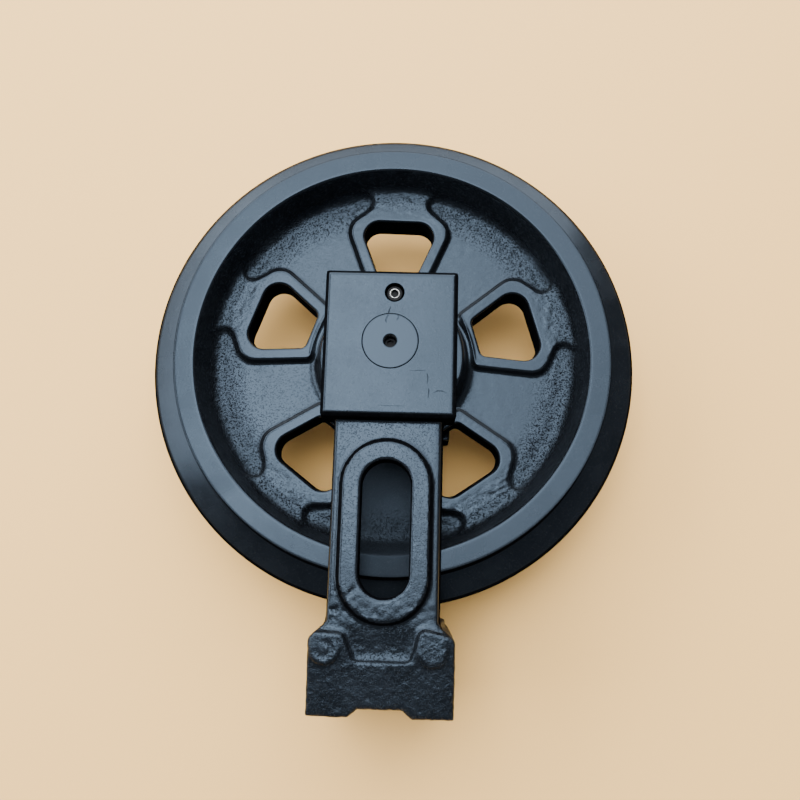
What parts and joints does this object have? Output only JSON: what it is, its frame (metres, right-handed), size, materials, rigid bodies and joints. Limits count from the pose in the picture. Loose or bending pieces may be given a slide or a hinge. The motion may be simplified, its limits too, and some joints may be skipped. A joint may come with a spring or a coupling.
{
  "type": "front idler",
  "caption": "Spoked idler wheel with a central guide flange, turning on a fixed shaft in a forked guide yoke with slotted arms and a block foot.",
  "frame": {"origin": "on the shaft's axis, in the flush lower end face of the shaft and the outer face of the lower head, on which the assembly lies", "axes": "+Z along the shaft through both heads, -Y from the shaft towards the yoke's foot, +X to the right with the foot towards the viewer"},
  "size_m": [0.33, 0.3905, 0.125],
  "materials": {
    "painted_casting": "gloss black paint over a rough casting",
    "painted_wheel": "gloss black paint over a rough web and a machined rim",
    "ground_steel": "ground",
    "black_oxide": "black oxide",
    "chilled_iron": "lapped",
    "bronze": "bored",
    "rubber": "matt"
  },
  "bodies": {
    "yoke_assembly": {"guide_yoke": "painted_casting", "axle_shaft": "ground_steel", "oil_filler_plug": "black_oxide", "seal_collar_upper": "black_oxide", "face_seal_ring_upper_fixed": "chilled_iron", "seal_toric_upper_fixed": "rubber", "shaft_o_ring_upper": "rubber", "shaft_lock_pin_upper": "ground_steel", "collar_cap_screw_upper": "black_oxide", "seal_collar_lower": "black_oxide", "face_seal_ring_lower_fixed": "chilled_iron", "seal_toric_lower_fixed": "rubber", "shaft_o_ring_lower": "rubber", "shaft_lock_pin_lower": "ground_steel", "collar_cap_screw_lower": "black_oxide"},
    "wheel_assembly": {"idler_wheel": "painted_wheel", "hub_bush_upper": "bronze", "face_seal_ring_upper_turning": "chilled_iron", "seal_toric_upper_turning": "rubber", "hub_bush_lower": "bronze", "face_seal_ring_lower_turning": "chilled_iron", "seal_toric_lower_turning": "rubber"}
  },
  "joints": [
    {"name": "wheel_spin", "type": "hinge", "parent": "yoke_assembly", "child": "wheel_assembly", "pos_m": [0, 0, 0.0625], "axis": [0, 0, 1], "continuous": true}
  ]
}
